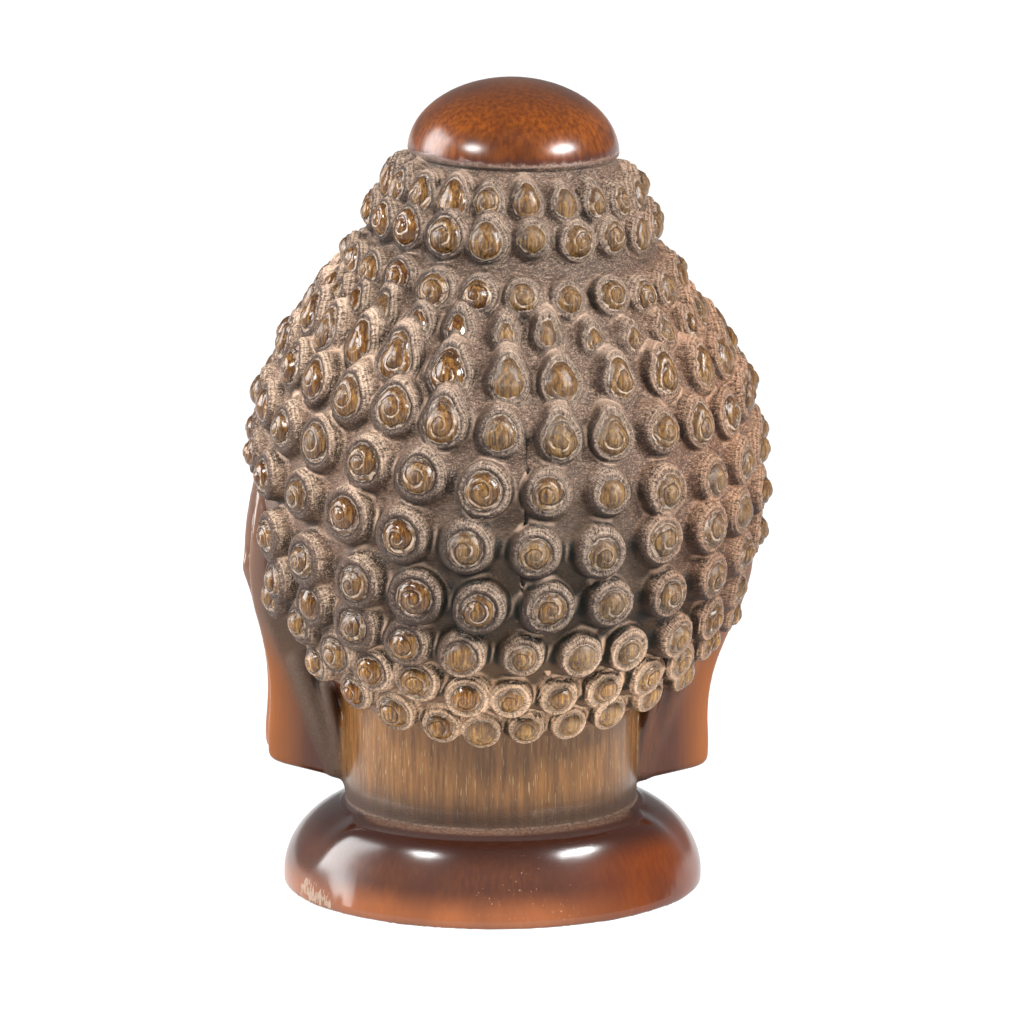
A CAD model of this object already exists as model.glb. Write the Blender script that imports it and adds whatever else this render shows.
# The looks of a small cast-resin Buddha head: one closed mesh carved in code, one procedural resin,
# a pale floor, soft studio light and the camera. Shapes are worked out in millimetres in the head's
# own frame (x to the figure's left, y to its back, up from the foot's top), then placed in metres.
import math

import bpy
import numpy as np
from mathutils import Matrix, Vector


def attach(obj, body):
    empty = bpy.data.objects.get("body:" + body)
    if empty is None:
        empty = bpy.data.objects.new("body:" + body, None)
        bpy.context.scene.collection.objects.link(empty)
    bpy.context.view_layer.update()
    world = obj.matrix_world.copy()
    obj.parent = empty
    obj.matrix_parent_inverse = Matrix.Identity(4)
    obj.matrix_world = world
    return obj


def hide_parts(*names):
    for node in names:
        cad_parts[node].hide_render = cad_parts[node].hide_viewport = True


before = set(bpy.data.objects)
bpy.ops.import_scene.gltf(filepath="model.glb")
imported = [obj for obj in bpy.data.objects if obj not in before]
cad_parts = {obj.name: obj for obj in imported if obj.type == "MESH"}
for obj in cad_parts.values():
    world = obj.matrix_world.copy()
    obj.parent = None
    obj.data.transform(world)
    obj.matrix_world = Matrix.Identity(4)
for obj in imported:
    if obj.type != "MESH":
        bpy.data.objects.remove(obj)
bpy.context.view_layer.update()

MM = 0.001

# Driving sizes, the same as the solid's
FOOT_RADIUS = 38.5
FOOT_HEIGHT = 15.5
FOOT_EDGE = 1.5
FOOT_CHAMFER = 0.25
FOOT_FLARE = 5.0
NECK_RADIUS = 27.0
HEAD_LEAN = math.radians(1.65)
HAIR_STEP = 3.0
HEAD_TOP = 134.1
HAIR_BOTTOM = 15.5
HAIR_TOP = 120.5
HAIR_PROFILE = [
    (HAIR_BOTTOM, 27.5), (20.5, 30.8), (29.5, 36.7), (40.5, 41.3), (56.5, 43.8), (68.5, 43.6),
    (79.5, 41.2), (88.5, 36), (96.5, 29.8), (103.5, 26.2), (111.5, 23.4), (HAIR_TOP, 18.2),
]
FULLEST_AT = 58.5
FULLNESS_REACH = 46.0
BACK_FULLNESS = 0.125
FRONT_FULLNESS = 0.05
DOME_BOTTOM = 120.8
DOME_RADIUS = 19.3
DOME_TUCK = 0.9
DOME_ROUNDNESS = 1.97
HAIRLINE = [
    (34, 16), (25, 19), (17, 24), (11, 30), (7, 37.5), (4.5, 46.5), (1.5, 55.5),
    (-5, 61), (-13, 62), (-20, 66), (-28, 73), (-37, 79), (-48, 81.5),
]

# Rings of curls from the dome down: height behind, rise to the front, rise to the figure's left,
# count, turn in degrees, cap radius, root radius, height, how far a cap is drawn out to a point, and
# the share of its curls with a coil
RINGS = [
    (114.2, 0, 0.3, 21, -1.5, 2.35, 3.4, 1.9, 0.42, 0.4),
    (108.3, 0, 0.5, 20, -3.5, 2.6, 3.9, 2.2, 0.2, 0.5),
    (98.8, 1, 1.2, 23, 0.5, 2.55, 3.9, 2.8, 0.08, 0.9),
    (92.2, 1.5, 1.6, 26, -6.5, 1.7, 3.3, 2.2, 0.7, 0.5),
    (85.4, 3, 2.2, 24, -9, 2.85, 4.3, 2.7, 0.62, 0.6),
    (77.3, 4, 2.5, 27, -6.5, 2.9, 4.5, 2.9, 0.36, 0.85),
    (67.6, 4.5, 2.5, 25, -4.5, 2.85, 4.9, 3.3, 0.12, 0.85),
    (57.4, 6.5, 1.4, 24, -2, 2.8, 5.1, 3.6, 0.05, 0.9),
    (46.7, 8.5, 0.7, 24, -5.5, 2.8, 5.1, 3.9, 0.03, 0.85),
    (37.4, 10.5, 1.4, 26, -1, 2.55, 4.8, 3.8, 0.05, 0.85),
    (28.7, 14.5, 1.4, 29, -0.5, 2.45, 4.3, 3.5, 0.03, 0.9),
    (21.2, 16.5, -0.4, 27, -6, 2.4, 3.7, 2.8, 0.03, 0.6),
]
CURL_LEVEL = 0.5
EDGE_CLEARANCE = 3.0
FRONT_CLEARANCE = 1.2
SPIRAL_TURNS = 1.6
BRUSHED_FROM = np.array([-0.72, 0.15, 0.68])
CORD_DEPTH = 0.55
LEDGE_PITCH = 0.85
LEDGE_DEPTH = 0.24

# Beads behind as (turn in degrees, height, radius), and the wavy seam as (turn, height) points
BEADS = [
    (1.2, 94, 0.75), (-21, 93.5, 0.7), (0.4, 50.6, 0.6), (-12, 82, 0.5), (10, 85, 0.5), (-27, 88.5, 0.6),
    (-16, 51, 0.6), (22, 73, 0.5), (-30, 62, 0.6), (15, 41.5, 0.6), (-9, 33, 0.6), (33, 51, 0.6),
]
SEAM = [
    [(0.2, 76.8), (0.7, 73.5), (-0.1, 70), (0.9, 66.5), (0.2, 63), (0.8, 60.5)],
    [(0.7, 52.5), (0.2, 50.5)],
    [(0.3, 49.5), (-0.4, 46.5), (0.5, 44)],
    [(0.4, 40), (0.6, 39.2)],
]

EAR_OUTLINE = [
    (-5, 60.5), (1, 57.5), (3.8, 50), (3.5, 42), (1, 33), (-1, 24), (-0.8, 8), (-1, 1), (-4, -1),
    (-10, -1), (-12.6, 1), (-12.8, 8), (-12.4, 22), (-11.5, 28), (-14, 35), (-15.8, 43), (-15, 52),
    (-11, 58.5),
]
EAR_FACE = [
    (2, 38.9), (8, 40.2), (17, 40), (23, 40.6), (30, 42.4), (37, 44.6), (46, 45.8), (61, 44.6),
]
EAR_INNER = 23.0

# Chips and nicks on the foot behind: turn in degrees, height, and the radius and depth of the bite
CHIPS = [
    (64, 1.8, 3.2, 0.3), (60, 1.2, 2.4, 0.25), (67.5, 3.6, 2.0, 0.25), (58.5, 2.4, 1.6, 0.2),
    (70, 1.8, 1.8, 0.2), (63, 4.6, 1.3, 0.15), (55.5, 1, 1.6, 0.15), (-6, 5.4, 0.6, 0.1),
    (-12, 6.6, 0.5, 0.1), (0.5, 8.4, 0.5, 0.1), (-16, 5.2, 0.6, 0.1), (9, 4.4, 0.6, 0.08),
]
# Sideways sway of the whole head as (height, offset)
SWAY = [(-1, 0), (3, 0.6), (17, 0.85), (35, 0.3), (50, -0.4), (68, -0.7), (90, -0.6), (125, -0.3)]

GRID_PITCH = 0.38
TRIANGLES = 197000
RANDOM = np.random.default_rng(7)


# Curves and smooth joins

def curve_at(points, height):
    """Cubic through (height, value) points, flat past both ends."""
    heights, values = np.array(points, float).T
    before = np.maximum(np.arange(len(heights)) - 1, 0)
    after = np.minimum(np.arange(len(heights)) + 1, len(heights) - 1)
    slopes = (values[after] - values[before]) / (heights[after] - heights[before])
    h = np.clip(height, heights[0], heights[-1])
    i = np.clip(np.searchsorted(heights, h, side="left") - 1, 0, len(heights) - 2)
    span = heights[i + 1] - heights[i]
    t = (h - heights[i]) / span
    s = 1 - t
    return (s * s * (1 + 2 * t) * values[i] + t * s * s * span * slopes[i]
            + t * t * (3 - 2 * t) * values[i + 1] - t * t * s * span * slopes[i + 1])


def spline(points, steps, closed=False):
    """Catmull-Rom points through a list of (a, b) points."""
    p = np.array(points, float)
    n = len(p)
    made = []
    for i in range(n if closed else n - 1):
        ids = [(i + k) % n if closed else min(max(i + k, 0), n - 1) for k in (-1, 0, 1, 2)]
        a, b, c, d = p[ids]
        for t in np.arange(steps) / steps:
            made.append(0.5 * (2 * b + (c - a) * t + (2 * a - 5 * b + 4 * c - d) * t * t
                               + (3 * b - a - 3 * c + d) * t ** 3))
    if not closed:
        made.append(p[-1])
    return np.array(made)


def smooth_min(a, b, k):
    h = np.clip(0.5 + 0.5 * (b - a) / k, 0, 1)
    return b + (a - b) * h - k * h * (1 - h)


def smooth_max(a, b, k):
    return -smooth_min(-a, -b, k)


def smooth_step(low, high, value):
    t = np.clip((value - low) / (high - low), 0, 1)
    return t * t * (3 - 2 * t)


def gap_to_line(a, b, line):
    """Unsigned distance from points (a, b) to a polyline, and the side it is on."""
    best = np.full(a.shape, np.inf)
    side = np.ones(a.shape)
    for (a0, b0), (a1, b1) in zip(line[:-1], line[1:]):
        da, db = a1 - a0, b1 - b0
        t = np.clip(((a - a0) * da + (b - b0) * db) / (da * da + db * db), 0, 1)
        gap = np.hypot(a - a0 - t * da, b - b0 - t * db)
        nearer = gap < best
        cross = (a - a0) * db - (b - b0) * da
        side = np.where(nearer, np.sign(cross), side)
        best = np.where(nearer, gap, best)
    return best, side


HAIR_EDGE = spline(HAIRLINE, 5)


def inside_hair(y, h):
    """How far inside the hair's edge a point is, seen from the side."""
    gap, side = gap_to_line(y, h, HAIR_EDGE)
    return gap * np.where(side == 0, 1, side)


def inside_outline(y, h, outline):
    """Signed distance to a closed outline, negative inside."""
    closed = np.vstack([outline, outline[:1]])
    gap, _ = gap_to_line(y, h, closed)
    inside = np.zeros(y.shape, bool)
    for (y0, h0), (y1, h1) in zip(closed[:-1], closed[1:]):
        if h0 != h1:
            crosses = ((h0 > h) != (h1 > h)) & (y < (y1 - y0) * (h - h0) / (h1 - h0) + y0)
            inside ^= crosses
    return np.where(inside, -gap, gap)


# Distance shapes, negative inside

def skull(x, y, h, inset):
    width = curve_at(HAIR_PROFILE, h)
    slope = (curve_at(HAIR_PROFILE, h + 0.2) - curve_at(HAIR_PROFILE, h - 0.2)) / 0.4
    fullness = np.maximum(0, 1 - ((h - FULLEST_AT) / FULLNESS_REACH) ** 2)
    share = np.where(y > 0, BACK_FULLNESS, FRONT_FULLNESS)
    depth = width * (1 + share * fullness)
    rho = np.sqrt((x / (width - inset)) ** 2 + (y / (depth - inset)) ** 2)
    radial = np.hypot(x, y) * (1 - 1 / np.maximum(rho, 1e-3))
    return radial / np.sqrt(1 + slope * slope)


def ball(x, y, h, at, radius):
    return np.sqrt((x - at[0]) ** 2 + (y - at[1]) ** 2 + (h - at[2]) ** 2) - radius


def ellipsoid(x, y, h, at, radii):
    px, py, ph = (x - at[0]) / radii[0], (y - at[1]) / radii[1], (h - at[2]) / radii[2]
    k0 = np.sqrt(px * px + py * py + ph * ph)
    k1 = np.sqrt((px / radii[0]) ** 2 + (py / radii[1]) ** 2 + (ph / radii[2]) ** 2)
    return k0 * (k0 - 1) / np.maximum(k1, 1e-6)


def strand(x, y, h, points):
    """A round strand through (x, y, h, radius) points."""
    best = np.full(np.broadcast(x, y, h).shape, 1e3, np.float32)
    for a, b in zip(points[:-1], points[1:]):
        a, b = np.array(a, float), np.array(b, float)
        d = b[:3] - a[:3]
        t = np.clip(((x - a[0]) * d[0] + (y - a[1]) * d[1] + (h - a[2]) * d[2]) / (d @ d), 0, 1)
        gap = np.sqrt((x - a[0] - t * d[0]) ** 2 + (y - a[1] - t * d[1]) ** 2 + (h - a[2] - t * d[2]) ** 2)
        best = np.minimum(best, gap - (a[3] + t * (b[3] - a[3])))
    return best


def to_world(x, y, h):
    c, s = math.cos(HEAD_LEAN), math.sin(HEAD_LEAN)
    return x * c - h * s, y, x * s + h * c + FOOT_HEIGHT


def from_world(wx, wy, wz):
    c, s = math.cos(HEAD_LEAN), math.sin(HEAD_LEAN)
    return np.array([wx * c + (wz - FOOT_HEIGHT) * s, wy, (wz - FOOT_HEIGHT) * c - wx * s])


def foot(x, y, h):
    """A round foot whose shoulder is squarer and steeper behind than at its sides."""
    wx, wy, wz = to_world(x, y, h)
    r = np.hypot(wx, wy)
    behind = smooth_step(0.2, 0.75, wy / np.maximum(r, 1e-3))
    shoulder = NECK_RADIUS - 5
    lift = np.maximum(wz - FOOT_EDGE, 0)
    rise = (FOOT_HEIGHT - FOOT_EDGE) * 1.02
    reach = FOOT_RADIUS - shoulder - FOOT_FLARE * behind * np.clip(lift / rise, 0, 1.2)
    a, b = np.maximum(r - shoulder, 0) / reach, lift / rise
    power = 2 + 4.5 * behind ** 2
    rho = np.maximum(a ** power + b ** power, 1e-6) ** (1 / power)
    size = np.hypot(np.maximum(r - shoulder, 0), lift)
    body = np.where(wz > FOOT_EDGE, size * (1 - 1 / np.maximum(rho, 0.05)), r - FOOT_RADIUS)
    chamfer = (r - FOOT_RADIUS + FOOT_CHAMFER - wz) * 0.7
    return smooth_max(np.maximum(body, -wz), chamfer, 0.3)


def dome(x, y, h):
    r = np.hypot(x, y) / DOME_RADIUS
    up = (h - DOME_BOTTOM) / (HEAD_TOP - DOME_BOTTOM)
    n = DOME_ROUNDNESS
    rho = (np.abs(r) ** n + np.maximum(up, 0) ** n) ** (1 / n)
    size = np.sqrt((r * DOME_RADIUS) ** 2 + (np.maximum(up, 0) * (HEAD_TOP - DOME_BOTTOM)) ** 2)
    above = size * (1 - 1 / np.maximum(rho, 1e-3))
    tuck = (np.hypot(x, y) - DOME_RADIUS + DOME_TUCK * (DOME_BOTTOM - h)) * 0.75
    return np.maximum(np.where(up > 0, above, tuck), HAIR_TOP - 2.5 - h)


# The field: distances on an even grid, negative inside, carved a window at a time

class Field:
    def __init__(self, low, high, pitch):
        self.low, self.pitch = np.array(low, float), pitch
        shape = np.ceil((np.array(high) - low) / pitch).astype(int) + 1
        self.count = shape
        self.values = np.full(shape[::-1], 10.0, np.float32)

    def window(self, low, high):
        first = np.clip(np.floor((np.array(low) - self.low) / self.pitch).astype(int), 0, self.count - 1)
        last = np.clip(np.ceil((np.array(high) - self.low) / self.pitch).astype(int) + 1, 1, self.count)
        steps = [np.arange(first[k], last[k]) for k in range(3)]
        x, y, h = [(self.low[k] + self.pitch * steps[k]).astype(np.float32) for k in range(3)]
        part = self.values[first[2]:last[2], first[1]:last[1], first[0]:last[0]]
        return part, x[None, None, :], y[None, :, None], h[:, None, None]

    def carve(self, shape, low, high, blend, join=smooth_min):
        part, x, y, h = self.window(low, high)
        for k in range(0, part.shape[0], 12):
            rows = slice(k, k + 12)
            made = shape(x, y, h[rows]).astype(np.float32)
            part[rows] = join(part[rows], made, blend)

    def cut(self, shape, low, high, blend):
        self.carve(lambda x, y, h: -shape(x, y, h), low, high, blend, smooth_max)

    def at(self, points):
        """Distances at points, between the grid's values."""
        q = (points - self.low) / self.pitch
        q = np.clip(q, 0, self.count - 1.001)
        i = q.astype(int)
        f = q - i
        total = np.zeros(len(points))
        for dz in (0, 1):
            for dy in (0, 1):
                for dx in (0, 1):
                    weight = (abs(1 - dx - f[:, 0]) * abs(1 - dy - f[:, 1]) * abs(1 - dz - f[:, 2]))
                    total += weight * self.values[i[:, 2] + dz, i[:, 1] + dy, i[:, 0] + dx]
        return total

    def slope_at(self, points, step):
        """The outward direction at points."""
        columns = []
        for axis in range(3):
            shift = np.zeros(3)
            shift[axis] = step
            columns.append((self.at(points + shift) - self.at(points - shift)) / (2 * step))
        return np.stack(columns, 1)

    def surface(self):
        """Vertices and quads of the zero surface, one vertex in each grid cell that it crosses."""
        inside = self.values < 0
        nz, ny, nx = inside.shape
        total = np.zeros((nz - 1, ny - 1, nx - 1), np.uint8)
        for dz in (0, 1):
            for dy in (0, 1):
                for dx in (0, 1):
                    total += inside[dz:nz - 1 + dz, dy:ny - 1 + dy, dx:nx - 1 + dx]
        k, j, i = np.nonzero((total > 0) & (total < 8))
        corner = {}
        for dz in (0, 1):
            for dy in (0, 1):
                for dx in (0, 1):
                    corner[dx, dy, dz] = self.values[k + dz, j + dy, i + dx].astype(float)
        sums = np.zeros((len(i), 3))
        hits = np.zeros(len(i))
        for axis in range(3):
            others = [c for c in range(3) if c != axis]
            for a in (0, 1):
                for b in (0, 1):
                    low = [0, 0, 0]
                    low[others[0]], low[others[1]] = a, b
                    high = list(low)
                    high[axis] = 1
                    v0, v1 = corner[tuple(low)], corner[tuple(high)]
                    crosses = (v0 < 0) != (v1 < 0)
                    t = np.where(crosses, v0 / np.where(crosses, v0 - v1, 1), 0)
                    point = np.tile(np.array(low, float), (len(i), 1))
                    point[:, axis] = t
                    sums += point * crosses[:, None]
                    hits += crosses
        points = self.low + self.pitch * (np.stack([i, j, k], 1) + sums / hits[:, None])
        number = np.full(total.shape, -1, np.int32)
        number[k, j, i] = np.arange(len(i))
        return points, self.quads(inside, number)

    @staticmethod
    def quads(inside, number):
        faces = []
        nz, ny, nx = inside.shape
        # An edge along each axis that crosses the surface joins the four cells around it
        for axis, (u, v) in ((0, (1, 2)), (1, (2, 0)), (2, (0, 1))):
            along = 2 - axis
            first = [slice(1, -1)] * 3
            second = [slice(1, -1)] * 3
            first[along], second[along] = slice(0, -1), slice(1, None)
            a, b = inside[tuple(first)], inside[tuple(second)]
            for leaving in (True, False):
                cells = list(np.nonzero((a & ~b) if leaving else (b & ~a)))
                for dim in range(3):
                    if dim != along:
                        cells[dim] = cells[dim] + 1
                ring = []
                for du, dv in ((0, 0), (1, 0), (1, 1), (0, 1)):
                    spot = list(cells)
                    spot[2 - u] = spot[2 - u] - 1 + du
                    spot[2 - v] = spot[2 - v] - 1 + dv
                    ring.append(number[tuple(spot)])
                ring = np.stack(ring, 1)
                faces.append(ring if leaving else ring[:, ::-1])
        return np.vstack(faces)


# Curls

def skull_point(turn, height):
    width = float(curve_at(HAIR_PROFILE, height))
    fullness = max(0, 1 - ((height - FULLEST_AT) / FULLNESS_REACH) ** 2)
    share = BACK_FULLNESS if math.cos(turn) > 0 else FRONT_FULLNESS
    depth = width * (1 + share * fullness)
    return np.array([width * math.sin(turn), depth * math.cos(turn), height])


def outward(turn, height):
    small = 0.01
    around = skull_point(turn + small, height) - skull_point(turn - small, height)
    upwards = skull_point(turn, height + small) - skull_point(turn, height - small)
    normal = np.cross(upwards, around)
    return normal / np.linalg.norm(normal)


def vary(amount):
    """A random factor at most this far from one."""
    return 1 + amount * RANDOM.uniform(-1, 1)


class Curl:
    """A snail curl: a flared mound with a rounded shoulder, and a domed cap with a cord coiled on it."""

    def __init__(self, turn, height, cap, root, rise, point, coiled):
        level = np.array([math.sin(turn), math.cos(turn), 0])
        axis = (1 - CURL_LEVEL) * outward(turn, height) + CURL_LEVEL * level
        self.axis = axis / np.linalg.norm(axis)
        self.across = np.cross([0, 0, 1], self.axis)
        self.across /= np.linalg.norm(self.across)
        self.up = np.cross(self.axis, self.across)
        self.at = skull_point(turn, height)
        self.turn, self.height = turn, height
        self.cap = cap * vary(0.09)
        self.root = root * vary(0.06)
        self.rise = rise * vary(0.09)
        self.point = max(0, point * vary(0.5))
        self.lip = 0.7 * (root - cap) * vary(0.15)
        self.lean = RANDOM.uniform(-0.14, 0.14, 2)
        self.crown = RANDOM.uniform(0.34, 0.46) * self.cap
        self.growth = SPIRAL_TURNS * vary(0.16)
        self.phase = RANDOM.uniform(0, 1)
        self.hand = 1 if RANDOM.random() < 0.75 else -1
        self.coiled = RANDOM.uniform(0.75, 1) if RANDOM.random() < coiled else RANDOM.uniform(0, 0.3)
        self.steps = smooth_step(2.4, 3.6, rise) * RANDOM.uniform(0.5, 1)
        self.step_turn = RANDOM.uniform(0, 2 * math.pi)
        self.polish = 0.55 * RANDOM.uniform(0, 1) + 0.45 * smooth_step(-0.1, 0.5, math.sin(turn))

    def local(self, x, y, h):
        dx, dy, dh = x - self.at[0], y - self.at[1], h - self.at[2]
        t = dx * self.axis[0] + dy * self.axis[1] + dh * self.axis[2]
        u = dx * self.across[0] + dy * self.across[1] + dh * self.across[2] - self.lean[0] * t
        v = dx * self.up[0] + dy * self.up[1] + dh * self.up[2] - self.lean[1] * t
        r = np.sqrt(u * u + v * v) + 1e-6
        rises = np.maximum(v / r, 0)
        return t, u, v, r / (1 + self.point * rises ** 7)

    def path(self, t, r):
        """How far out over the cap and down the flank."""
        return r + 0.8 * np.maximum(self.rise - 0.3 - t, 0)

    def coil(self, path, u, v):
        """Turns of the cord, closer together near the middle: whole numbers are its grooves."""
        return self.growth * np.log(1 + path) - self.hand * np.arctan2(v, u) / (2 * math.pi) + self.phase

    def body(self, t, r):
        share = np.clip(1 - t / self.rise, 0, 1.4)
        shoulder = self.cap + self.lip
        flank = (r - shoulder - (self.root - shoulder) * share ** 1.5) * 0.85
        dome_rise = self.crown * np.maximum(1 - (r / self.cap) ** 2, 0)
        droop = 0.6 * np.clip((r - self.cap) / self.lip, 0, 3) ** 2
        return smooth_max(flank, t - self.rise - dome_rise + droop, 0.6)

    def relief(self, path, u, v):
        """How far the carving stands out from the plain curl."""
        turns = self.coil(path, u, v)
        cord = 1 - (2 * np.abs(turns - np.floor(turns) - 0.5)) ** 3
        on_cap = smooth_step(self.cap + 0.1, self.cap - 0.3, path)
        coils = on_cap * self.coiled * CORD_DEPTH * (cord - 0.6) * smooth_step(0.8, 1.3, path)
        knob = 0.35 * self.coiled * np.exp(-(path / 0.95) ** 4)
        moat = -0.42 * np.exp(-((path - self.cap - 0.15) / 0.34) ** 2)
        out = path - self.cap
        around = np.arctan2(v, u)
        band = smooth_step(0.5, 0.9, out) * smooth_step(3.4, 1.8, out)
        band *= 0.6 + 0.4 * np.cos(around - self.step_turn)
        wave = np.sin(2 * math.pi * out / LEDGE_PITCH + 1.2 * np.cos(around))
        ledges = LEDGE_DEPTH * self.steps * band * wave
        return coils + knob + moat + ledges

    def distance(self, x, y, h):
        t, u, v, r = self.local(x, y, h)
        return self.body(t, r) - self.relief(self.path(t, r), u, v)


def make_curls():
    """Rings of curls from the dome down to the hair's edge."""
    rings = []
    for height, rise, tilt, count, turn, cap, root, tall, point, coiled in RINGS:
        ring = []
        for i in range(count):
            angle = math.radians(turn) + i * 2 * math.pi / count + RANDOM.uniform(-0.012, 0.012)
            up = height + tilt * math.sin(angle) + rise * (1 - math.cos(angle))
            up += RANDOM.uniform(-0.35, 0.35)
            larger = 1 + 0.16 * math.exp(-((math.degrees(angle + math.pi) % 360 - 215) / 25) ** 2)
            curl = Curl(angle, up, cap * larger, root * larger, tall, point, coiled)
            clearance = EDGE_CLEARANCE if curl.at[1] > -4 else FRONT_CLEARANCE
            if inside_hair(np.array([curl.at[1]]), np.array([curl.at[2]]))[0] > clearance:
                ring.append(curl)
        rings.append(ring)
    return rings


def gap_round(a, b):
    return abs((a - b + math.pi) % (2 * math.pi) - math.pi)


def add_ridges(field, rings):
    """Low ridges that join a curl to the nearest one below it, mostly high on the head."""
    for number, (upper, lower) in enumerate(zip(rings[:-1], rings[1:])):
        for curl in upper:
            if number < 2 or not lower or RANDOM.random() > (0.85 if number < 6 else 0.35):
                continue
            below = min(lower, key=lambda other: gap_round(other.turn, curl.turn))
            if gap_round(below.turn, curl.turn) > 0.2:
                continue
            points = []
            for share in (0, 0.35, 0.7, 1):
                turn = curl.turn + share * (below.turn - curl.turn)
                top = curl.height - curl.cap
                height = top + share * (below.height + below.cap - top)
                swell = abs(share - 0.5)
                at = skull_point(turn, height) + (0.25 + 1.2 * swell) * outward(turn, height)
                points.append((*at, 0.3 + swell))
            reach = np.array(points)[:, :3]
            field.carve(lambda x, y, h: strand(x, y, h, points), reach.min(0) - 4, reach.max(0) + 4, 1.9)


def add_beads(field):
    """Small left-over beads of resin between the curls behind."""
    for turn, height, radius in BEADS:
        angle = math.radians(turn)
        at = skull_point(angle, height) + 0.25 * outward(angle, height)
        field.carve(lambda x, y, h: ball(x, y, h, at, radius), at - 2, at + 2, 0.25)


def seam_points(turns):
    points = []
    for turn, height in turns:
        angle = math.radians(turn)
        points.append((*(skull_point(angle, height) + 0.3 * outward(angle, height)), 0.3))
    return points


def cut_seam(field):
    for turns in SEAM:
        points = seam_points(turns)
        reach = np.array(points)[:, :3]
        field.cut(lambda x, y, h: strand(x, y, h, points), reach.min(0) - 2, reach.max(0) + 2, 0.25)


# Face and ears

def add_face(field):
    def press(shape, low, high, blend, cut):
        if cut:
            field.cut(shape, low, high, blend)
        else:
            field.carve(shape, low, high, blend)

    def lump(at, radii, blend, cut=False):
        for side in ((1, -1) if at[0] else (1,)):
            place = (side * at[0], at[1], at[2])
            reach = np.array(radii) + 2 * blend + 1
            low, high = np.array(place) - reach, np.array(place) + reach
            press(lambda x, y, h: ellipsoid(x, y, h, place, radii), low, high, blend, cut)

    def stroke(points, blend, cut=False):
        for side in (1, -1):
            path = [(side * px, py, ph, pr) for px, py, ph, pr in points]
            p = np.array(path)
            reach = p[:, 3].max() + 2 * blend + 1
            low, high = p[:, :3].min(0) - reach, p[:, :3].max(0) + reach
            press(lambda x, y, h: strand(x, y, h, path), low, high, blend, cut)

    lump((0, -13, 31), (31, 30, 27), 7)
    lump((0, -29, 14.5), (12, 12.5, 8.5), 6)
    lump((19, -29, 35), (12, 10, 12), 6)
    # Eye hollows, lowered lids and the lid lines
    lump((15.5, -49.5, 51.8), (10.5, 7.5, 6), 5, cut=True)
    lump((15.5, -36.6, 49.2), (9, 6.6, 5.6), 1.6)
    stroke([(6.6, -41.2, 48.4, 0.4), (10.5, -42.9, 47, 0.5), (15.5, -43.4, 46.3, 0.5),
            (20.5, -41.6, 46.8, 0.5), (24.6, -38.4, 48.6, 0.35)], 0.5, cut=True)
    stroke([(7.6, -41, 50.6, 0.2), (12, -42, 53.6, 0.35), (17, -41.4, 54.2, 0.35), (22, -39, 52.6, 0.3),
            (25, -37, 50.6, 0.2)], 0.6, cut=True)
    # Brow ridges run into the nose
    brow = spline([(2.4, -43.8, 51.6, 1.3), (4.4, -44.3, 55.4, 1.3), (9.5, -43.9, 59, 1.2),
                   (16.5, -41.8, 60.6, 1.1), (23.2, -37.6, 59.6, 0.9), (28.5, -32.4, 56.2, 0.5)], 4)
    stroke([tuple(point) for point in brow], 2.6)
    # Nose
    nose = [(0, -41.6, 57.5, 3.4), (0, -43.9, 48, 3.2), (0, -46.8, 37.4, 4.2)]
    field.carve(lambda x, y, h: strand(x, y, h, nose), (-12, -56, 28), (12, -34, 66), 3.4)
    lump((4.6, -44.6, 35.4), (3, 3.8, 2.8), 2.4)
    lump((2.7, -47.4, 32.2), (1.2, 1.8, 1.4), 0.7, cut=True)
    # Mouth
    field.cut(lambda x, y, h: strand(x, y, h, [(0, -45.6, 31.5, 1), (0, -45.6, 29, 1.2)]),
              (-5, -50, 25), (5, -40, 35), 1.2)
    lump((0, -35.5, 26), (13, 9, 8), 4)
    stroke([(0, -43.9, 27.4, 1.5), (3, -43.9, 28.2, 1.6), (7, -42.3, 27.3, 1.3),
            (10.6, -39.9, 26.5, 0.7)], 1)
    stroke([(0, -43.3, 23.4, 2.1), (4, -42.7, 23.6, 1.9), (7.6, -41, 24.7, 1.2), (10, -39.6, 25.9, 0.7)], 1)
    stroke([(0, -45.7, 25.6, 0.5), (3.5, -45.2, 25.9, 0.5), (7, -43.3, 25.9, 0.45),
            (11, -40.2, 26.5, 0.45)], 0.4, cut=True)
    lump((0, -43.2, 63), (1.6, 1.5, 1.6), 0.5)


def ear_face(y, h):
    """How far out the ear's carved face stands, over its outline seen from the side."""
    inside = -inside_outline(y, h, EAR_SHAPE)
    upper = smooth_step(30, 36, h)
    face = curve_at(EAR_FACE, h)
    rim = 0.9 * np.exp(-((inside - 1.3) / 1.1) ** 2)
    gutter = -1.3 * upper * np.exp(-((inside - 3.3) / 0.9) ** 2)
    bowl = -2.6 * np.exp(-(((y + 7.2) / 3.4) ** 2 + ((h - 41) / 5) ** 2) ** 1.5)
    hollow = -1.3 * np.exp(-(((y + 6.5) / 3) ** 2 + ((h - 53) / 3) ** 2) ** 1.5)
    slit = -1.2 * np.exp(-((y + 6.8) / 1.3) ** 2) * smooth_step(9, 13, h) * (1 - smooth_step(25, 30, h))
    flap = 1.1 * np.exp(-(((y + 12.6) / 1.6) ** 2 + ((h - 40) / 2.6) ** 2))
    return face + rim + gutter + bowl + hollow + slit + flap - 0.2


EAR_SHAPE = spline(EAR_OUTLINE, 4, closed=True)


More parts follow.
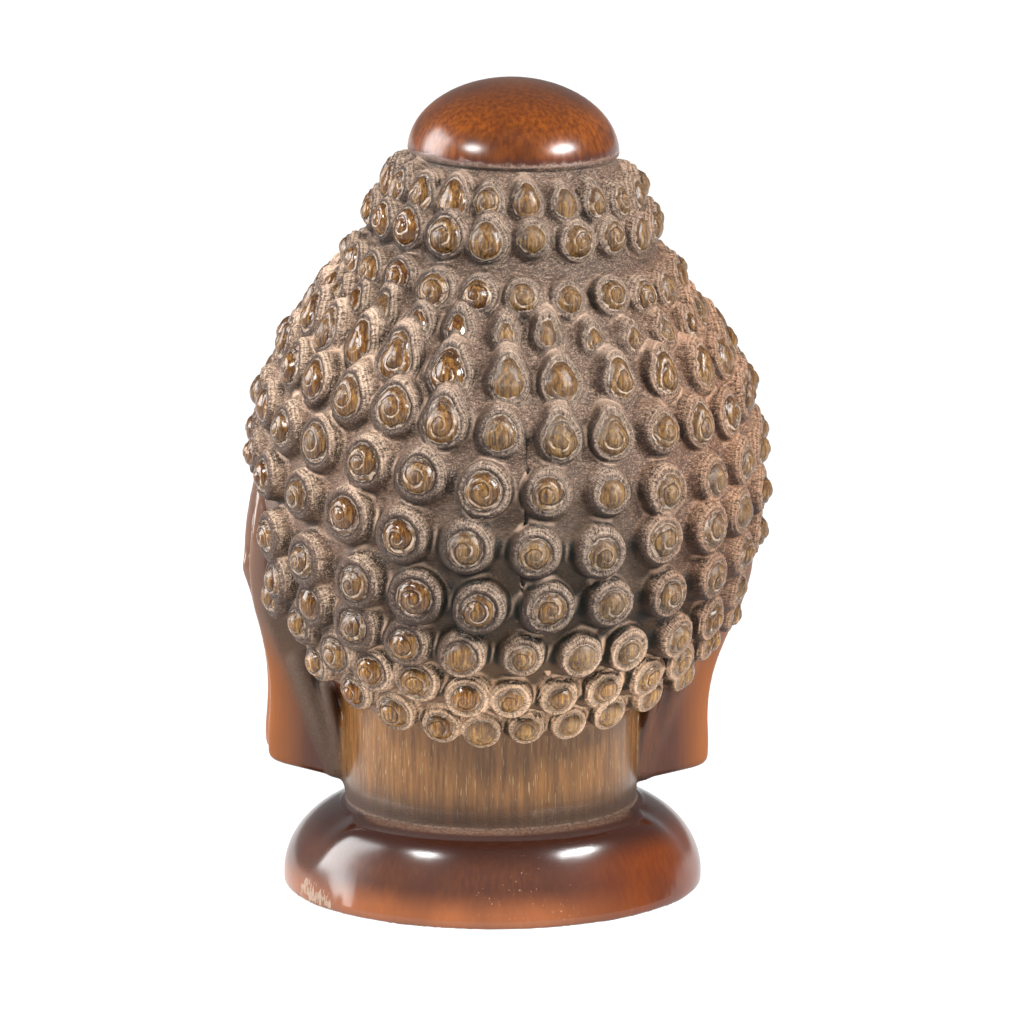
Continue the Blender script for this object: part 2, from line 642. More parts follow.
def add_ears(field):
    for side in (1, -1):
        def plate(x, y, h):
            y2, h2 = np.broadcast_arrays(y, h)
            edge = inside_outline(y2, h2, EAR_SHAPE)
            face = ear_face(y2, h2)
            across = np.maximum(side * x - face, EAR_INNER - side * x)
            under = (2.6 + 0.24 * (side * x - 27) - h) * 0.97
            return smooth_max(smooth_max(edge + 0 * x, across, 2.4), under, 1.6)
        low, high = (20, -20, 0), (52, 8, 65)
        if side < 0:
            low, high = (-52, -20, 0), (-20, 8, 65)
        field.carve(plate, low, high, 1.6)
        # Two folds of skin run down between the lobe and the neck
        for points in ([(28.4, -1.8, 4.2, 0.9), (30.6, -1.4, 11, 1.4), (35.6, -1.3, 25, 1.9)],
                       [(27.6, -0.8, 5.5, 0.7), (28.4, -0.2, 12, 0.9), (30.6, 0.6, 21, 1.2)]):
            path = [(side * px, py, ph, pr) for px, py, ph, pr in points]
            field.carve(lambda x, y, h: strand(x, y, h, path), low, high, 1.6)


# Wear on the foot

def chip_balls():
    """Balls that bite into the foot's edge: (centre, radius)."""
    balls = []
    for turn, height, radius, depth in CHIPS:
        angle = math.radians(turn)
        drop = max(height - FOOT_EDGE, 0) / (FOOT_HEIGHT - FOOT_EDGE)
        shoulder = NECK_RADIUS - 5
        edge = shoulder + (FOOT_RADIUS - shoulder) * math.sqrt(max(1 - drop * drop, 0))
        out = edge + radius - depth
        balls.append((from_world(out * math.sin(angle), out * math.cos(angle), height), radius))
    return balls


def chip_foot(field):
    for centre, radius in chip_balls():
        reach = radius + 1
        field.cut(lambda x, y, h: ball(x, y, h, centre, radius), centre - reach, centre + reach, 0.08)


# The whole head

def carve_head(rings):
    field = Field((-53, -56, -19), (51, 55, 137), GRID_PITCH)
    everywhere = (-60, -60, -20), (60, 60, 140)

    def hair_and_skin(x, y, h):
        y2, h2 = np.broadcast_arrays(y, h)
        edge = np.clip(inside_hair(y2, h2) / 1.8, 0, 1)
        step = HAIR_STEP * (1 - np.sqrt(1 - (1 - edge) ** 2))
        slab = np.maximum(h - HAIR_TOP, HAIR_BOTTOM - h)
        return smooth_max(skull(x, y, h, step), slab, 0.6)

    field.carve(hair_and_skin, *everywhere, 0.01)
    add_face(field)
    field.carve(lambda x, y, h: np.maximum(np.hypot(x, y) - NECK_RADIUS, np.maximum(h - 40, -2 - h)),
                (-32, -32, -6), (32, 32, 45), 0.8)
    add_ears(field)
    field.carve(foot, (-42, -42, -19), (42, 42, 3), 1)
    field.carve(dome, (-24, -24, 115), (24, 24, 137), 0.25)
    add_ridges(field, rings)
    for curl in sum(rings, []):
        reach = 8.5
        field.carve(curl.distance, curl.at - reach, curl.at + reach, 1.1)
    add_beads(field)
    cut_seam(field)
    chip_foot(field)
    return field


def closed_mesh(field):
    points, quads = field.surface()
    for _ in range(2):
        slope = field.slope_at(points, 0.5 * field.pitch)
        size = np.maximum((slope ** 2).sum(1), 0.1)
        move = (field.at(points) / size)[:, None] * slope
        points -= np.clip(move, -0.3 * field.pitch, 0.3 * field.pitch)
    return points, quads


def blender_mesh(name, points, faces):
    mesh = bpy.data.meshes.new(name)
    mesh.vertices.add(len(points))
    mesh.vertices.foreach_set("co", points.astype(np.float32).ravel())
    sides = faces.shape[1]
    mesh.loops.add(faces.size)
    mesh.loops.foreach_set("vertex_index", faces.astype(np.int32).ravel())
    mesh.polygons.add(len(faces))
    mesh.polygons.foreach_set("loop_start", np.arange(0, faces.size, sides, dtype=np.int32))
    mesh.update(calc_edges=True)
    mesh.validate()
    return mesh


def lighter(piece, triangles):
    """Collapses the mesh to about this many triangles, keeping them where it curves most."""
    count = sum(len(p.vertices) - 2 for p in piece.data.polygons)
    thin = piece.modifiers.new("thin", "DECIMATE")
    thin.ratio = triangles / count
    graph = bpy.context.evaluated_depsgraph_get()
    made = bpy.data.meshes.new_from_object(piece.evaluated_get(graph))
    piece.modifiers.clear()
    piece.data = made


def coordinates(mesh):
    points = np.empty(len(mesh.vertices) * 3, np.float32)
    mesh.vertices.foreach_get("co", points)
    return points.reshape(-1, 3).astype(float)


# What the finish reads at each vertex

def set_value(mesh, name, values):
    layer = mesh.attributes.new(name, "FLOAT", "POINT")
    layer.data.foreach_set("value", np.asarray(values, np.float32))


def set_vector(mesh, name, values):
    layer = mesh.attributes.new(name, "FLOAT_VECTOR", "POINT")
    layer.data.foreach_set("vector", np.asarray(values, np.float32).ravel())


def describe(mesh, field, curls):
    points = coordinates(mesh)
    x, y, h = points.T
    normal = field.slope_at(points, 0.5 * field.pitch)
    normal /= np.maximum(np.linalg.norm(normal, axis=1), 1e-6)[:, None]

    closeness = np.zeros(len(points))
    weight = 0
    for step in (1.2, 2.4, 4.0):
        open_way = np.clip(field.at(points + normal * step) / step, -0.2, 1)
        closeness += (1 - open_way) / step ** 0.3
        weight += 1 / step ** 0.3
    set_value(mesh, "recess", closeness / weight)
    sharp = 1 + field.at(points - 0.9 * normal) / 0.9
    set_value(mesh, "edge", np.clip(sharp, 0, 1))

    set_value(mesh, "brushed", normal @ BRUSHED_FROM)

    nearest = np.full(len(points), 1.6)
    coil = np.zeros((len(points), 3))
    cap_edge = np.full(len(points), 6.0)
    polish = np.zeros(len(points))
    coiled = np.zeros(len(points))
    off_knob = np.zeros(len(points))
    low_side = np.zeros(len(points))
    for curl in curls:
        near = np.nonzero(((points - curl.at) ** 2).sum(1) < 100)[0]
        t, u, v, r = curl.local(*points[near].T)
        gap = np.abs(curl.body(t, r)) + np.maximum(-t - 0.5, 0)
        better = gap < nearest[near]
        ids = near[better]
        t, u, v, r, gap = t[better], u[better], v[better], r[better], gap[better]
        path = curl.path(t, r)
        angle = curl.hand * np.arctan2(v, u) - curl.phase * 2 * math.pi
        turns = curl.growth * np.log(1 + path)
        nearest[ids] = gap
        grade = np.full(len(turns), 40 * curl.polish)
        coil[ids] = np.stack([turns * np.cos(angle), turns * np.sin(angle), grade], 1)
        cap_edge[ids] = path - curl.cap
        polish[ids] = curl.polish
        coiled[ids] = curl.coiled
        off_knob[ids] = smooth_step(0.8, 1.2, path)
        low_side[ids] = (0.4 * u - v) / np.maximum(r, 0.3)
    set_vector(mesh, "coil", coil)
    set_value(mesh, "cap_edge", cap_edge)
    set_value(mesh, "on_curl", 1 - smooth_step(0.6, 1.5, nearest))
    set_value(mesh, "polish", polish)
    set_value(mesh, "coiled", coiled)
    set_value(mesh, "off_knob", off_knob)
    set_value(mesh, "low_side", low_side)

    rise = skull(x, y, h, 0)
    edge = inside_hair(y, h)
    under_dome = 1 - smooth_step(HAIR_TOP + 0.2, HAIR_TOP + 1.1, h)
    hair = smooth_step(-0.6, 0.6, edge) * smooth_step(-1.6, -0.8, rise) * under_dome
    on_ear = smooth_step(1.5, 0.2, inside_outline(y, h, EAR_SHAPE)) * smooth_step(28, 31, np.abs(x))
    hair *= 1 - on_ear
    set_value(mesh, "hair", hair)
    set_value(mesh, "ear", on_ear)
    wx, wy, wz = to_world(x, y, h)
    set_value(mesh, "foot", smooth_step(FOOT_HEIGHT + 0.9, FOOT_HEIGHT - 0.3, wz))
    set_value(mesh, "neck", smooth_step(NECK_RADIUS + 1.2, NECK_RADIUS + 0.3, np.hypot(x, y)) * (1 - hair)
              * smooth_step(FOOT_HEIGHT - 0.6, FOOT_HEIGHT + 0.4, wz) * smooth_step(30, 24, h))
    set_value(mesh, "dome", 1 - under_dome)
    # A band of dust between each lobe and the neck
    middle = 27.4 + 0.35 * np.maximum(h - 3, 0)
    width = 2.3 + 0.08 * np.maximum(h - 5, 0)
    band = smooth_step(1.3, 0.7, np.abs(np.abs(x) - middle) / width) * smooth_step(-4, -1.5, y)
    band *= smooth_step(40, 33, h) * smooth_step(0.6, 2, h) * (1 - hair)
    set_value(mesh, "band", band * np.where(x > 0, 1, 0.2))
    chip = np.zeros(len(points))
    for centre, radius in chip_balls():
        chip = np.maximum(chip, smooth_step(0.3, 0.06, np.abs(ball(x, y, h, centre, radius))))
    set_value(mesh, "chip", chip)
    seam = np.full(len(points), 2.0)
    for turns in SEAM:
        seam = np.minimum(seam, strand(x, y, h, seam_points(turns)))
    set_value(mesh, "seam", seam)


def place_in_metres(mesh):
    points = coordinates(mesh)
    wx, wy, wz = to_world(*points.T)
    wx += curve_at(SWAY, points[:, 2])
    wz = np.where(np.abs(wz) < 0.12, 0, wz)
    mesh.vertices.foreach_set("co", (np.stack([wx, wy, wz], 1) * MM).astype(np.float32).ravel())
    mesh.update()


# The resin

LIGHT_SHARE = 0.55
DOME_FOOT = FOOT_HEIGHT + HAIR_TOP
DARK_HAIR_AT = (-6, 44, 52)
NICKS_AT = (-4, 38, 3)


class Nodes:
    """The nodes of one material, and the values and noises that its parts share."""

    def __init__(self, tree):
        self.tree = tree
        self.read = {}
        place = self.add("ShaderNodeTexCoord").outputs["Object"]
        self.millimetres = self.scaled(place, (1 / MM, 1 / MM, 1 / MM))
        self.across, _, self.up = self.split(self.millimetres)
        self.bands = self.noise((1.25, 1.25, 0.09), detail=4, rough=0.6)
        self.streaks = self.noise((2.6, 2.6, 0.16), detail=3, rough=0.6)
        self.clouds = self.noise(0.07, detail=3)
        self.speckle = self.noise(2.6, detail=4, rough=0.7)
        self.grit = self.noise(3.4, detail=3, rough=0.7)
        self.marks = self.noise((1.1, 1.1, 3.2), detail=4, rough=0.7, warp=1.0)
        self.low_rings = self.step(self.up, FOOT_HEIGHT + 46, FOOT_HEIGHT + 24)

    def add(self, kind, **settings):
        node = self.tree.nodes.new(kind)
        for name, value in settings.items():
            setattr(node, name, value)
        return node

    def feed(self, socket, value):
        if isinstance(value, bpy.types.NodeSocket):
            self.tree.links.new(value, socket)
        else:
            socket.default_value = value

    def value(self, name):
        """A value that describe() wrote at each vertex."""
        if name not in self.read:
            self.read[name] = self.add("ShaderNodeAttribute", attribute_name=name).outputs["Fac"]
        return self.read[name]

    def values(self, *names):
        return [self.value(name) for name in names]

    def math(self, operation, a, b=0.0):
        node = self.add("ShaderNodeMath", operation=operation)
        for socket, value in zip(node.inputs, (a, b)):
            self.feed(socket, value)
        return node.outputs[0]

    def times(self, first, *others):
        for other in others:
            first = self.math("MULTIPLY", first, other)
        return first

    def plus(self, first, *others):
        for other in others:
            first = self.math("ADD", first, other)
        return first

    def minus(self, a, b):
        return self.math("SUBTRACT", a, b)

    def most(self, a, b):
        return self.math("MAXIMUM", a, b)

    def step(self, value, low, high, to_low=0.0, to_high=1.0):
        node = self.add("ShaderNodeMapRange", interpolation_type="SMOOTHSTEP")
        for socket, given in zip(node.inputs, (value, low, high, to_low, to_high)):
            self.feed(socket, given)
        return node.outputs[0]

    def between(self, value, start, full, fading, gone):
        """One from full to fading, nothing before start or past gone."""
        return self.times(self.step(value, start, full), self.step(value, gone, fading))

    def mix(self, share, a, b, blend="MIX"):
        node = self.add("ShaderNodeMix", data_type="RGBA", blend_type=blend)
        self.feed(node.inputs[0], share)
        self.feed(node.inputs[6], a)
        self.feed(node.inputs[7], b)
        return node.outputs[2]

    def vector_math(self, operation, a, b=(0, 0, 0)):
        node = self.add("ShaderNodeVectorMath", operation=operation)
        self.feed(node.inputs[0], a)
        self.feed(node.inputs[1], b)
        return node.outputs["Value" if operation in ("LENGTH", "DISTANCE") else "Vector"]

    def split(self, vector):
        node = self.add("ShaderNodeSeparateXYZ")
        self.feed(node.inputs[0], vector)
        return node.outputs

    def scaled(self, vector, scale):
        node = self.add("ShaderNodeMapping")
        self.feed(node.inputs["Vector"], vector)
        node.inputs["Scale"].default_value = scale
        return node.outputs[0]

    def noise(self, scale, detail=2.0, rough=0.5, warp=0.0, place=None):
        """A noise of one scale, or of one along each axis."""
        place = self.millimetres if place is None else place
        if isinstance(scale, tuple):
            place = self.scaled(place, scale)
            scale = 1.0
        node = self.add("ShaderNodeTexNoise")
        self.feed(node.inputs["Vector"], place)
        node.inputs["Scale"].default_value = scale
        node.inputs["Detail"].default_value = detail
        node.inputs["Roughness"].default_value = rough
        node.inputs["Distortion"].default_value = warp
        return node.outputs["Fac"]

    def centred(self, value, amount):
        """A noise value moved to lie evenly about zero."""
        return self.times(self.minus(value, 0.5), amount)


def linear(red, green, blue):
    """The resin's own colour for one as seen in the studio light, each part 0 to 255."""
    def one(part):
        part /= 255
        return LIGHT_SHARE * (part / 12.92 if part <= 0.04045 else ((part + 0.055) / 1.055) ** 2.4)
    return (one(red), one(green), one(blue), 1)


class Coat:
    """A colour that others are laid over, each part 0 to 255."""

    def __init__(self, n, colour):
        self.n = n
        self.colour = colour

    def lay(self, share, *parts):
        self.colour = self.n.mix(share, self.colour, linear(*parts))

    def cover(self, share, colour):
        self.colour = self.n.mix(share, self.colour, colour)

    def tint(self, colour):
        self.colour = self.n.mix(1.0, self.colour, colour, "MULTIPLY")


def curl_patterns(n):
    """The cord's groove and pale edge, and strokes and rings that fan out from a cap."""
    coil = n.add("ShaderNodeAttribute", attribute_name="coil").outputs["Vector"]
    along, aside, grade = n.split(coil)
    flat = n.scaled(coil, (1, 1, 0))
    angle = n.math("ARCTAN2", aside, along)
    wobble = n.centred(n.noise(0.5), 0.6)
    turns = n.plus(n.minus(n.vector_math("LENGTH", flat), n.math("DIVIDE", angle, 2 * math.pi)), wobble)
    phase = n.math("FRACT", turns)
    groove = n.most(n.step(phase, 0.14, 0.03), n.step(phase, 0.95, 1.0))
    wire = n.between(phase, 0.08, 0.16, 0.28, 0.42)
    toward = n.split(n.vector_math("NORMALIZE", flat))

    def around(tightness, depth_scale):
        place = n.add("ShaderNodeCombineXYZ")
        n.feed(place.inputs[0], n.times(toward[0], tightness))
        n.feed(place.inputs[1], n.times(toward[1], tightness))
        n.feed(place.inputs[2], n.plus(n.times(n.value("cap_edge"), depth_scale), grade))
        return place.outputs[0]

    strokes = n.noise(1.0, detail=3, rough=0.7, warp=0.7, place=around(18, 0.6))
    rings = n.noise(1.0, rough=0.6, warp=0.4, place=around(1.4, 1.7))
    return groove, wire, n.plus(n.times(strokes, 0.84), n.times(rings, 0.16))


def bare_resins(n):
    """Polished resin with its upright grain: amber, red, and the ochre of the caps."""
    wide = n.step(n.bands, 0.3, 0.7)
    amber = Coat(n, n.mix(wide, linear(106, 48, 10), linear(158, 82, 18)))
    amber.lay(n.step(n.noise((3.6, 3.6, 0.5), rough=0.6), 0.64, 0.76, 0, 0.3), 186, 120, 56)
    amber.lay(n.step(n.clouds, 0.42, 0.62, 0, 0.65), 76, 36, 14)
    red = Coat(n, n.mix(wide, linear(104, 48, 16), linear(142, 74, 24)))
    red.lay(n.step(n.streaks, 0.55, 0.75, 0, 0.25), 172, 106, 50)
    red.lay(n.step(n.clouds, 0.42, 0.62, 0, 0.6), 86, 38, 20)
    ochre = Coat(n, n.mix(n.step(n.bands, 0.4, 0.6), linear(94, 64, 25), linear(154, 116, 54)))
    ochre.lay(n.step(n.streaks, 0.54, 0.7, 0, 0.75), 214, 172, 104)
    ochre.lay(n.step(n.streaks, 0.48, 0.39, 0, 0.85), 50, 30, 14)
    return amber.colour, red.colour, ochre.colour


def hair_finish(n, fans):
    """Dust and patina: smooth and darker in the valleys, pale brushed strokes on the curls."""
    cap_edge, on_curl, recess, brushed = n.values("cap_edge", "on_curl", "recess", "brushed")
    dark_zone = n.step(n.vector_math("DISTANCE", n.millimetres, DARK_HAIR_AT), 42, 12)
    ruff = n.plus(n.centred(n.grit, 0.5), n.centred(n.speckle, 0.5))
    fans = n.plus(fans, n.times(n.low_rings, 0.05))
    lit = n.plus(brushed, ruff, n.times(n.low_rings, 0.75))
    shoulder = n.times(n.step(n.plus(cap_edge, n.centred(n.marks, 1.6)), 4.4, 1.8), on_curl)

    hair = Coat(n, n.mix(n.step(n.marks, 0.32, 0.68), linear(76, 57, 45), linear(158, 128, 108)))
    hair.lay(n.times(dark_zone, 0.85), 86, 70, 50)
    flank_pale = n.times(n.step(fans, 0.42, 0.56), n.step(lit, -0.2, 0.55))
    hair.cover(n.times(shoulder, 0.95), n.mix(flank_pale, linear(90, 67, 54), linear(255, 228, 204)))
    shade = n.step(n.plus(brushed, ruff), -0.05, -0.75, 0, 0.6)
    hair.lay(n.times(shade, n.step(n.low_rings, 0, 1, 0.85, 0.15)), 70, 51, 42)
    hollow = n.step(n.plus(recess, n.centred(n.speckle, 0.16)), 0.26, 0.68)
    hair.lay(n.times(hollow, n.step(dark_zone, 0, 1, 0.8, 0.95)), 44, 34, 27)
    hair.lay(n.times(n.step(recess, 0.34, 0.72), n.step(dark_zone, 0.1, 0.9, 0, 0.9)), 30, 33, 24)
    pale_edge = n.step(n.plus(n.value("edge"), n.centred(n.speckle, 0.3)), 0.18, 0.5)
    hair.lay(n.times(pale_edge, n.step(brushed, -0.6, 0.2), 0.85), 246, 214, 190)
    calm = n.step(n.minus(shoulder, n.times(dark_zone, 0.8)), -0.7, 0.7, 0.1, 1)
    grain = n.step(n.plus(n.grit, n.centred(n.marks, 0.6)), 0.52, 0.66)
    hair.lay(n.times(grain, calm, n.step(brushed, -0.4, 0.5, 0.2, 0.95)), 255, 230, 206)
    specks = n.step(n.plus(n.grit, n.centred(n.marks, 0.4)), 0.45, 0.34)
    hair.lay(n.times(specks, calm, 0.7), 44, 31, 25)

    # A shadowed groove under the two upper rings
    groove_rise = n.plus(n.up, n.centred(n.marks, 3.0))
    groove = n.between(groove_rise, *(FOOT_HEIGHT + rise for rise in (100.5, 102.5, 105, 107.5)))
    groove = n.times(groove, n.step(shoulder, 0.6, 0.1, 0.1, 0.5), n.step(n.marks, 0.62, 0.4, 0.35, 1))
    hair.lay(groove, 64, 48, 38)

    # Thin ledges round the caps, where the cord runs on down the curl
    ledge_path = n.plus(cap_edge, n.centred(n.noise(0.45), 1.2), n.centred(n.grit, 0.2))
    phase = n.math("FRACT", n.math("DIVIDE", ledge_path, 0.95))
    on_ledges = n.times(n.between(cap_edge, 0.3, 0.7, 2.2, 3.4), on_curl, n.step(lit, -0.15, 0.6))
    broken = n.step(n.noise(0.9, detail=3), 0.44, 0.6, 0.08, 1)
    ledge = n.times(n.between(phase, 0, 0.12, 0.22, 0.4), on_ledges, broken)
    under_ledge = n.times(n.between(phase, 0.4, 0.55, 0.7, 0.95), on_ledges)
    hair.lay(n.times(under_ledge, n.step(n.low_rings, 0, 1, 0.35, 0.3)), 60, 43, 34)
    hair.lay(n.times(ledge, 0.75), 250, 220, 196)

    # Browner and darker high up, paler and warmer low down and to the right
    tint = n.mix(n.low_rings, (0.8, 0.75, 0.71, 1), (2.55, 2.2, 1.82, 1))
    tint = n.mix(n.step(n.across, -14, -42, 0, 0.8), tint, (0.92, 0.64, 0.46, 1))
    tint = n.mix(n.step(n.across, 10, 34, 0, 0.75), tint, (1.82, 1.7, 1.56, 1))
    hair.tint(tint)

    relief = n.plus(n.times(fans, shoulder, 0.7), n.times(ledge, 0.12))
    relief = n.minus(relief, n.times(under_ledge, 0.1))
    return hair, n.plus(relief, n.times(n.marks, 0.14), n.times(n.speckle, 0.16))


def wear_caps(n, hair, groove, wire, bare):
    """Caps worn back to polished resin, with pale raised lines; gives their shine and relief."""
    cap_edge, on_curl, polish, low_side = n.values("cap_edge", "on_curl", "polish", "low_side")
    ragged = n.plus(cap_edge, n.centred(n.noise(0.9, detail=3), 0.7))
    worn = n.step(n.noise(0.8, detail=3), 0.42, 0.58, 0.08, 1)
    cap = n.times(n.step(ragged, 0.12, -0.08), on_curl)
    amber, red, ochre = bare
    paint = Coat(n, n.mix(n.times(polish, 0.4), ochre, n.mix(0.5, red, amber)))
    paint.tint(n.mix(n.low_rings, (0.92, 0.88, 0.84, 1), (1.9, 1.8, 1.45, 1)))
    lines = n.times(n.value("coiled"), n.value("off_knob"), cap)
    groove = n.times(groove, lines)
    wire = n.times(wire, lines, worn, n.step(low_side, -0.8, 0.5, 0.3, 1))
    paint.lay(n.times(groove, 0.8), 44, 25, 14)
    paint.lay(n.times(wire, 0.85), 250, 220, 192)
    paint.lay(n.times(n.step(low_side, -0.3, -0.9), n.step(cap_edge, -1.2, -0.2), 0.6), 58, 34, 18)
    shine = n.times(cap, n.step(polish, 0, 1, 0.85, 1))
    hair.cover(shine, paint.colour)
    rim = n.times(n.between(ragged, -0.12, 0, 0.12, 0.26), on_curl, worn)
    hair.lay(n.times(rim, 0.9), 252, 224, 200)
    patchy = n.step(n.plus(n.marks, n.times(n.value("brushed"), -0.12)), 0.38, 0.56, 0.15, 1)
    dark_ring = n.times(n.between(ragged, 0.14, 0.3, 0.4, 0.75), on_curl, patchy)
    hair.lay(n.times(dark_ring, n.step(n.low_rings, 0, 1, 0.5, 0.4)), 48, 32, 23)

    relief = n.plus(n.times(wire, 0.2), n.times(rim, 0.16))
    relief = n.minus(relief, n.times(groove, 0.2))
    return shine, n.minus(relief, n.times(dark_ring, n.value("hair"), 0.16))


def neck_colour(n):
    dashes = n.noise((3.6, 3.6, 0.3), rough=0.6)
    neck = Coat(n, n.mix(n.step(n.bands, 0.3, 0.7), linear(122, 80, 38), linear(174, 118, 62)))
    neck.lay(n.step(dashes, 0.6, 0.72, 0, 0.75), 214, 180, 128)
    neck.lay(n.step(n.up, FOOT_HEIGHT + 8, FOOT_HEIGHT + 1.5, 0, 0.85), 66, 44, 32)
    return neck.colour


def foot_colour(n, red):
    foot = Coat(n, n.mix(n.step(n.up, 1.5, 7), linear(198, 120, 76), linear(86, 58, 50)))
    foot.lay(n.step(n.across, -4, -30), 130, 54, 6)
    foot.lay(n.step(n.clouds, 0.4, 0.65, 0, 0.25), 86, 54, 48)
    foot.cover(0.3, red)
    foot.lay(n.step(n.up, 9, 14, 0, 0.9), 54, 22, 12)
    return foot.colour


def dome_colour(n, amber):
    dome = Coat(n, amber)
    dome.lay(n.step(n.up, DOME_FOOT + 12.5, DOME_FOOT + 6, 0.65, 0), 84, 42, 18)
    dome.lay(n.step(n.up, DOME_FOOT + 2.6, DOME_FOOT + 0.8, 0, 0.7), 66, 38, 38)
    return dome.colour


def skin_finish(n, bare, hair):
    """The face, ears, neck, foot and dome, with the hair laid over them."""
    amber, red, _ = bare
    recess, band = n.values("recess", "band")
    far_out = n.step(n.math("ABSOLUTE", n.across), 33, 39)
    lobe = Coat(n, n.mix(far_out, linear(98, 47, 28), linear(190, 107, 38)))
    lobe.lay(n.step(n.up, FOOT_HEIGHT + 22, FOOT_HEIGHT + 36, 0, 0.85), 142, 116, 102)
    skin = Coat(n, n.mix(n.times(n.value("ear"), 0.75), red, lobe.colour))
    skin.lay(n.step(recess, 0.15, 0.6, 0, 0.8), 74, 44, 34)
    skin.lay(n.times(band, n.step(n.speckle, 0.3, 0.6, 0.5, 1)), 122, 98, 80)
    skin.lay(n.times(band, n.step(recess, 0.36, 0.6, 0, 0.8)), 66, 48, 38)
    skin.cover(n.value("neck"), neck_colour(n))
    skin.cover(n.value("foot"), foot_colour(n, red))
    skin.cover(n.value("dome"), dome_colour(n, amber))
    skin.cover(n.value("hair"), hair.colour)
    return skin


def add_wear(n, skin):
    """Pale strokes on the dome's edge, dust in the crease over the foot, chips, nicks and the seam."""
    reach = n.plus(n.up, n.centred(n.noise((1.7, 1.7, 0.8), detail=4, rough=0.8), -3.2))
    above = n.step(n.up, DOME_FOOT + 0.1, DOME_FOOT + 0.5)
    skin.lay(n.times(n.step(reach, DOME_FOOT + 0.9, DOME_FOOT + 0.4), above, 0.5), 176, 146, 128)
    crease = n.between(n.up, *(FOOT_HEIGHT + rise for rise in (-0.1, 0.2, 0.4, 0.7)))
    skin.lay(n.times(crease, n.step(n.speckle, 0.4, 0.6, 0, 0.7)), 170, 140, 116)
    torn = n.centred(n.noise((2.2, 2.2, 0.55), detail=3), 2.4)
    chip = n.step(n.plus(n.value("chip"), torn), 0.75, 0.95)
    skin.lay(chip, 206, 176, 152)
    nicks = n.step(n.noise((1.6, 1.6, 1.2), rough=0.7), 0.68, 0.72)
    near_nicks = n.step(n.vector_math("DISTANCE", n.millimetres, NICKS_AT), 13, 7)
    skin.lay(n.times(nicks, near_nicks, 0.7), 206, 160, 130)
    seam = n.step(n.plus(n.value("seam"), n.centred(n.grit, 0.15)), 0.12, -0.05)
    skin.lay(seam, 36, 28, 24)
    return chip, n.plus(n.times(chip, -0.1), n.times(seam, -0.25))


def resin():
    material = bpy.data.materials.new("resin")
    material.use_nodes = True
    material.node_tree.nodes.clear()
    n = Nodes(material.node_tree)
    bare = bare_resins(n)
    groove, wire, fans = curl_patterns(n)
    hair, dust_relief = hair_finish(n, fans)
    shine, cap_relief = wear_caps(n, hair, groove, wire, bare)
    skin = skin_finish(n, bare, hair)
    chip, wear_relief = add_wear(n, skin)

    dull = n.times(n.value("hair"), n.minus(1.0, shine))
    dull = n.most(n.most(dull, chip), n.value("band"))
    near_crease = n.between(n.up, *(FOOT_HEIGHT + rise for rise in (-0.9, -0.3, 2, 5)))
    dull = n.most(dull, n.times(near_crease, 0.9))
    roughness = n.step(dull, 0, 1, 0.15, 0.6)
    for name, extra in (("neck", 0.12), ("dome", 0.09), ("foot", 0.05)):
        roughness = n.plus(roughness, n.times(n.value(name), extra))

    bump = n.add("ShaderNodeBump")
    bump.inputs["Distance"].default_value = MM
    bump.inputs["Strength"].default_value = 1.0
    n.feed(bump.inputs["Height"], n.plus(n.times(dust_relief, dull), cap_relief, wear_relief))

    surface = n.add("ShaderNodeBsdfPrincipled")
    n.feed(surface.inputs["Base Color"], skin.colour)
    n.feed(surface.inputs["Roughness"], roughness)
    n.feed(surface.inputs["Normal"], bump.outputs[0])
    surface.inputs["IOR"].default_value = 1.5
    out = n.add("ShaderNodeOutputMaterial")
    n.feed(out.inputs["Surface"], surface.outputs[0])
    return material


def make_head():
    rings = make_curls()
    field = carve_head(rings)
    points, quads = closed_mesh(field)
    head = bpy.data.objects.new("head", blender_mesh("head", points, quads))
    bpy.context.scene.collection.objects.link(head)
    lighter(head, TRIANGLES)
    describe(head.data, field, sum(rings, []))
    place_in_metres(head.data)
    head.data.shade_smooth()
    head.data.materials.clear()
    head.data.materials.append(resin())
    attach(head, "root")
    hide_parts("buddha_head")


# Floor, light and camera

def make_floor():
    size = 6.0
    mesh = bpy.data.meshes.new("floor")
    corners = [(-size, -size, 0), (size, -size, 0), (size, size, 0), (-size, size, 0)]
    mesh.from_pydata(corners, [], [(0, 1, 2, 3)])
    floor = bpy.data.objects.new("floor", mesh)
    paper = bpy.data.materials.new("paper")
    paper.use_nodes = True
    surface = paper.node_tree.nodes["Principled BSDF"]
    surface.inputs["Base Color"].default_value = (0.18, 0.18, 0.18, 1)
    surface.inputs["Roughness"].default_value = 0.95
    surface.inputs["Emission Color"].default_value = (1, 1, 1, 1)
    surface.inputs["Emission Strength"].default_value = 0.85
    mesh.materials.append(paper)
    bpy.context.scene.collection.objects.link(floor)


LAMP_RANGE = 0.4
CAMERA_TURN = math.radians(175.6)
CAMERA_RISE = math.radians(11.9)
CAMERA_RANGE = 1.65
CAMERA_LENS = 316.5
LOOK_AT = Vector((0, 0, 0.075))


def from_subject(turn, rise, distance):
    """A place seen from the subject: turn in radians round from its front, rise above level."""
    return LOOK_AT + distance * Vector((
        math.sin(turn) * math.cos(rise), -math.cos(turn) * math.cos(rise), math.sin(rise)))


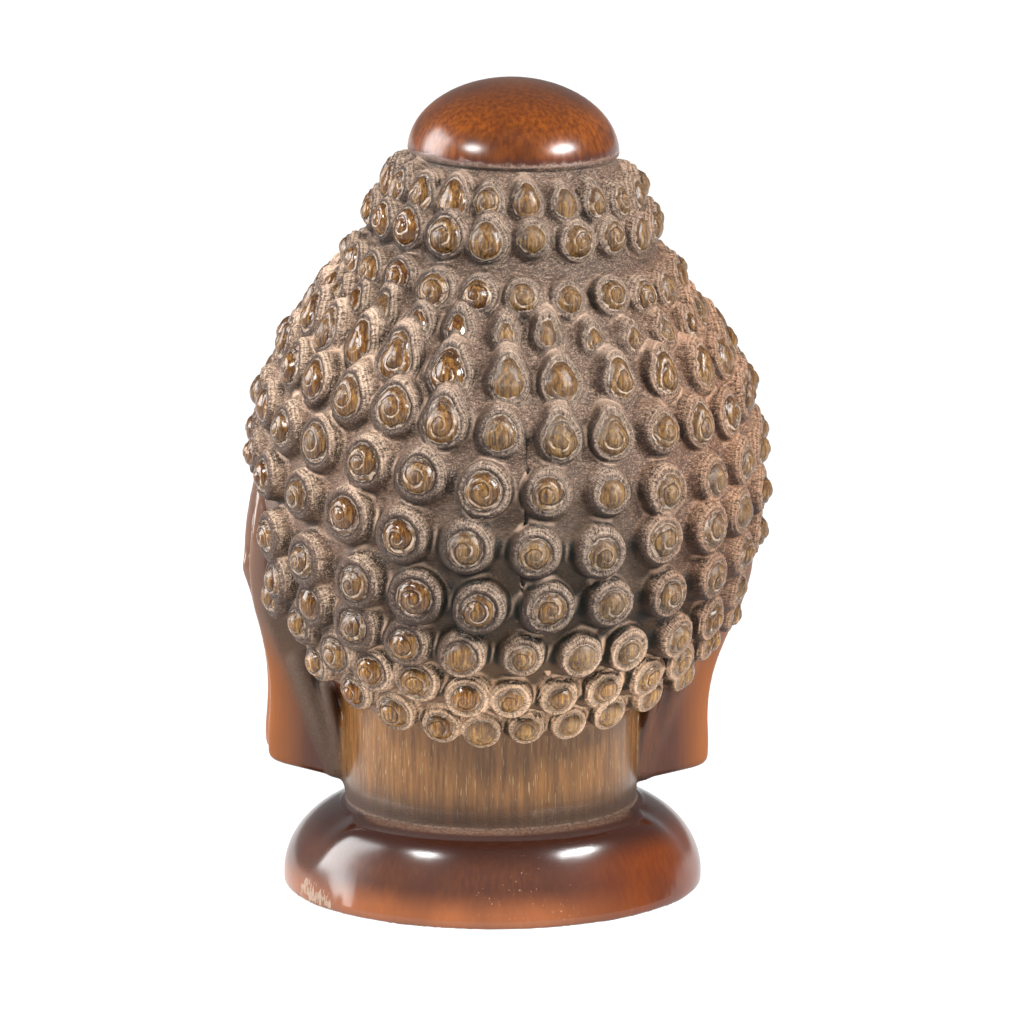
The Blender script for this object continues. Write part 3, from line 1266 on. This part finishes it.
def make_camera():
    data = bpy.data.cameras.new("camera")
    data.lens = CAMERA_LENS
    data.sensor_width = 36
    data.clip_start, data.clip_end = 0.05, 50
    data.shift_x, data.shift_y = 0.0190, -0.0310
    camera = bpy.data.objects.new("camera", data)
    camera.location = from_subject(CAMERA_TURN, CAMERA_RISE, CAMERA_RANGE)
    camera.rotation_euler = (LOOK_AT - camera.location).to_track_quat("-Z", "Y").to_euler()
    bpy.context.scene.collection.objects.link(camera)
    bpy.context.scene.camera = camera


def aim(name, data, location):
    """A light at a place, turned to the subject."""
    light = bpy.data.objects.new(name, data)
    light.location = location
    light.rotation_euler = (LOOK_AT - light.location).to_track_quat("-Z", "Y").to_euler()
    bpy.context.scene.collection.objects.link(light)
    return light


def area(name, shape, width, height, power):
    data = bpy.data.lights.new(name, "AREA")
    data.shape = shape
    data.size, data.size_y = width, height
    data.energy = power
    return data


def beside(side):
    """A turn from the camera, in degrees to its right."""
    return CAMERA_TURN + math.radians(side)


def softbox(name, side, rise, distance, width, height, power):
    data = area(name, "RECTANGLE", width, height, power)
    aim(name, data, from_subject(beside(side), math.radians(rise), distance))


def lamp(name, side, above, width, height, power):
    """A near oval lamp at a height above the floor."""
    spot = from_subject(beside(side), 0, LAMP_RANGE)
    light = aim(name, area(name, "ELLIPSE", width, height, power), Vector((spot.x, spot.y, above)))
    light.visible_camera = False


def overhead(name, side, rise, width, strength):
    """A wide even light from above, kept out of the reflections."""
    data = bpy.data.lights.new(name, "SUN")
    data.angle = math.radians(width)
    data.energy = strength
    light = aim(name, data, from_subject(beside(side), math.radians(rise), 2))
    light.visible_glossy = False


def make_light():
    world = bpy.data.worlds.new("studio")
    world.use_nodes = True
    world.node_tree.nodes["Background"].inputs[0].default_value = (1, 1, 1, 1)
    world.node_tree.nodes["Background"].inputs[1].default_value = 0.3
    bpy.context.scene.world = world
    lamp("left_lamp", -47, 0.345, 0.13, 0.08, 1.4)
    lamp("right_lamp", 60, 0.33, 0.2, 0.1, 2.8)
    overhead("top_light", 10, 58, 30, 2.3)
    overhead("front_light", 0, 0, 60, 0.95)
    softbox("left_bank", -99, 19, 1.3, 0.74, 0.76, 20)
    bpy.context.scene.view_settings.view_transform = "Standard"


make_camera()
make_light()
make_floor()
make_head()
